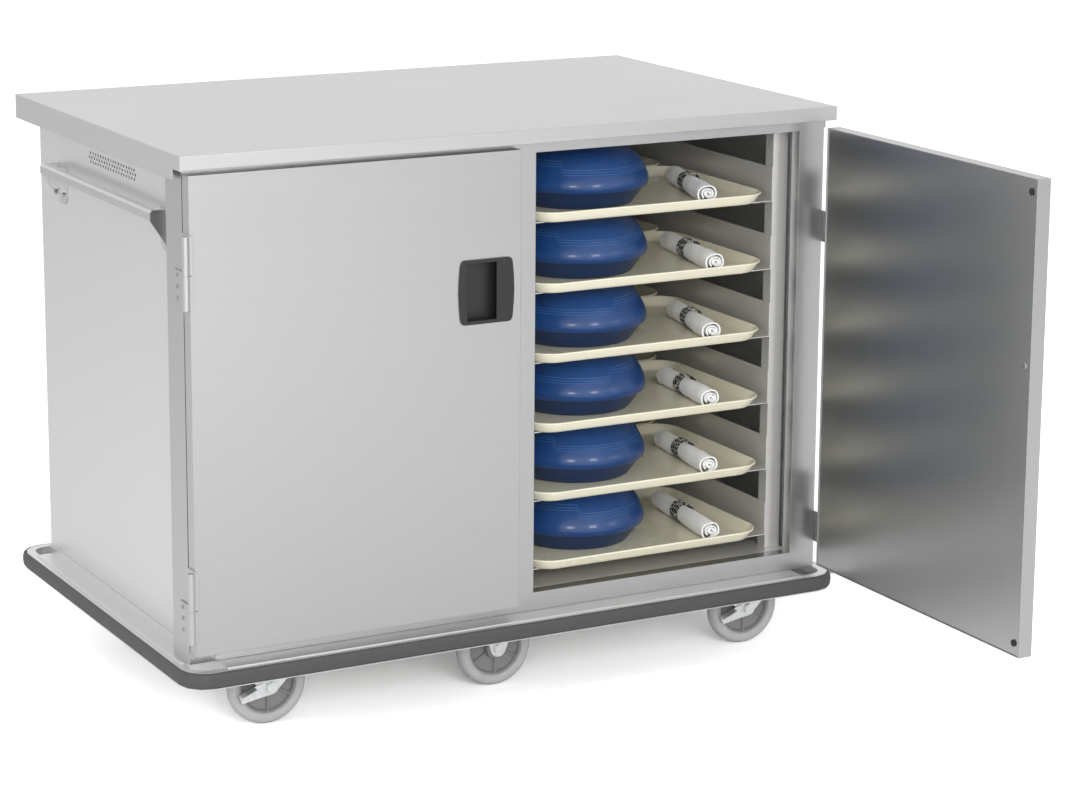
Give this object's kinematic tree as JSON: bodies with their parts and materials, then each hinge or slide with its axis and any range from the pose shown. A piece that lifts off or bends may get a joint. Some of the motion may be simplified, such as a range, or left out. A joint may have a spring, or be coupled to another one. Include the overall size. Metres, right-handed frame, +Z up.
{
  "type": "meal tray cart",
  "caption": "Enclosed stainless steel meal tray cart with two lift-off doors, tray slides loaded with trays and domed meals, push handles, a wrap-round bumper and casters.",
  "frame": {"origin": "middle of the footprint on the floor, with the right door standing open as pictured", "axes": "+Z up out of the worktop, the doors face -Y, the open door is on the +X side"},
  "size_m": [1.374, 1.5556, 1.086],
  "materials": {
    "brushed_steel": "satin brushed stainless steel",
    "inner_steel": "brushed stainless steel seen in the cabinet's shade",
    "hinge_steel": "satin cast stainless steel",
    "caster_zinc": "bright zinc plating",
    "wheel_grey": "light grey non-marking tread on a darker moulded core",
    "bumper_grey": "dark grey matt extrusion",
    "pull_black": "black moulded plastic with a soft sheen",
    "tray_ivory": "ivory moulded fibreglass",
    "dome_blue": "deep blue moulded plastic, glossy",
    "napkin_white": "white soft paper"
  },
  "bodies": {
    "cabinet": {"counter_top": "brushed_steel", "side_panel_right": "brushed_steel", "side_panel_left": "brushed_steel", "back_panel": "brushed_steel", "ceiling_panel": "inner_steel", "floor_pan": "inner_steel", "front_frame": "brushed_steel", "tray_rack_right": "inner_steel", "tray_rack_left": "inner_steel", "centre_rack": "inner_steel", "chassis": "brushed_steel", "bumper": "bumper_grey", "push_handle_right": "brushed_steel", "push_handle_left": "brushed_steel", "left_lower_frame_hinge": "hinge_steel", "left_upper_frame_hinge": "hinge_steel", "right_lower_frame_hinge": "hinge_steel", "right_upper_frame_hinge": "hinge_steel", "front_left_caster_plate": "caster_zinc", "front_right_caster_plate": "caster_zinc", "rear_left_caster_plate": "caster_zinc", "rear_right_caster_plate": "caster_zinc", "front_middle_caster_fork": "caster_zinc", "rear_middle_caster_fork": "caster_zinc"},
    "left_door": {"left_door_pan": "brushed_steel", "left_door_liner": "inner_steel", "left_door_pull": "pull_black"},
    "right_door": {"right_door_pan": "brushed_steel", "right_door_liner": "inner_steel", "right_door_pull": "pull_black"},
    "tray_1": {"tray_1": "tray_ivory", "meal_dome_1": "dome_blue", "napkin_roll_1": "napkin_white"},
    "tray_2": {"tray_2": "tray_ivory", "meal_dome_2": "dome_blue", "napkin_roll_2": "napkin_white"},
    "tray_3": {"tray_3": "tray_ivory", "meal_dome_3": "dome_blue", "napkin_roll_3": "napkin_white"},
    "tray_4": {"tray_4": "tray_ivory", "meal_dome_4": "dome_blue", "napkin_roll_4": "napkin_white"},
    "tray_5": {"tray_5": "tray_ivory", "meal_dome_5": "dome_blue", "napkin_roll_5": "napkin_white"},
    "tray_6": {"tray_6": "tray_ivory", "meal_dome_6": "dome_blue", "napkin_roll_6": "napkin_white"},
    "front_left_fork": {"front_left_caster_fork": "caster_zinc"},
    "front_left_wheel": {"front_left_wheel": "wheel_grey"},
    "front_left_brake": {"front_left_brake_lever": "caster_zinc"},
    "front_right_fork": {"front_right_caster_fork": "caster_zinc"},
    "front_right_wheel": {"front_right_wheel": "wheel_grey"},
    "front_right_brake": {"front_right_brake_lever": "caster_zinc"},
    "rear_left_fork": {"rear_left_caster_fork": "caster_zinc"},
    "rear_left_wheel": {"rear_left_wheel": "wheel_grey"},
    "rear_right_fork": {"rear_right_caster_fork": "caster_zinc"},
    "rear_right_wheel": {"rear_right_wheel": "wheel_grey"},
    "front_middle_wheel": {"front_middle_wheel": "wheel_grey"},
    "rear_middle_wheel": {"rear_middle_wheel": "wheel_grey"}
  },
  "joints": [
    {"name": "left_door_hinge", "type": "hinge", "parent": "cabinet", "child": "left_door", "pos_m": [-0.6722, -0.1193, 0.6], "axis": [0, 0, -1], "range_deg": [0, 270]},
    {"name": "right_door_hinge", "type": "hinge", "parent": "cabinet", "child": "right_door", "pos_m": [0.6722, -0.1193, 0.6], "axis": [0, 0, 1], "range_deg": [-90, 180]},
    {"name": "tray_1_slide", "type": "slide", "parent": "cabinet", "child": "tray_1", "axis": [0, -1, 0], "range_m": [0, 0.38]},
    {"name": "tray_2_slide", "type": "slide", "parent": "cabinet", "child": "tray_2", "axis": [0, -1, 0], "range_m": [0, 0.38]},
    {"name": "tray_3_slide", "type": "slide", "parent": "cabinet", "child": "tray_3", "axis": [0, -1, 0], "range_m": [0, 0.38]},
    {"name": "tray_4_slide", "type": "slide", "parent": "cabinet", "child": "tray_4", "axis": [0, -1, 0], "range_m": [0, 0.38]},
    {"name": "tray_5_slide", "type": "slide", "parent": "cabinet", "child": "tray_5", "axis": [0, -1, 0], "range_m": [0, 0.38]},
    {"name": "tray_6_slide", "type": "slide", "parent": "cabinet", "child": "tray_6", "axis": [0, -1, 0], "range_m": [0, 0.38]},
    {"name": "front_left_swivel", "type": "hinge", "parent": "cabinet", "child": "front_left_fork", "pos_m": [-0.515, 0.0258, 0.17], "axis": [0, 0, 1], "continuous": true},
    {"name": "front_left_wheel_spin", "type": "hinge", "parent": "front_left_fork", "child": "front_left_wheel", "pos_m": [-0.471, 0.0258, 0.0762], "axis": [0, 1, 0], "continuous": true},
    {"name": "front_left_brake_press", "type": "hinge", "parent": "front_left_fork", "child": "front_left_brake", "pos_m": [-0.471, 0.0258, 0.0762], "axis": [0, -1, 0], "range_deg": [0, 15]},
    {"name": "front_right_swivel", "type": "hinge", "parent": "cabinet", "child": "front_right_fork", "pos_m": [0.515, 0.0258, 0.17], "axis": [0, 0, 1], "continuous": true},
    {"name": "front_right_wheel_spin", "type": "hinge", "parent": "front_right_fork", "child": "front_right_wheel", "pos_m": [0.559, 0.0258, 0.0762], "axis": [0, 1, 0], "continuous": true},
    {"name": "front_right_brake_press", "type": "hinge", "parent": "front_right_fork", "child": "front_right_brake", "pos_m": [0.559, 0.0258, 0.0762], "axis": [0, -1, 0], "range_deg": [0, 15]},
    {"name": "rear_left_swivel", "type": "hinge", "parent": "cabinet", "child": "rear_left_fork", "pos_m": [-0.515, 0.6158, 0.17], "axis": [0, 0, 1], "continuous": true},
    {"name": "rear_left_wheel_spin", "type": "hinge", "parent": "rear_left_fork", "child": "rear_left_wheel", "pos_m": [-0.471, 0.6158, 0.0762], "axis": [0, 1, 0], "continuous": true},
    {"name": "rear_right_swivel", "type": "hinge", "parent": "cabinet", "child": "rear_right_fork", "pos_m": [0.515, 0.6158, 0.17], "axis": [0, 0, 1], "continuous": true},
    {"name": "rear_right_wheel_spin", "type": "hinge", "parent": "rear_right_fork", "child": "rear_right_wheel", "pos_m": [0.559, 0.6158, 0.0762], "axis": [0, 1, 0], "continuous": true},
    {"name": "front_middle_wheel_spin", "type": "hinge", "parent": "cabinet", "child": "front_middle_wheel", "pos_m": [0, 0.0258, 0.0762], "axis": [0, 1, 0], "continuous": true},
    {"name": "rear_middle_wheel_spin", "type": "hinge", "parent": "cabinet", "child": "rear_middle_wheel", "pos_m": [0, 0.6158, 0.0762], "axis": [0, 1, 0], "continuous": true}
  ]
}
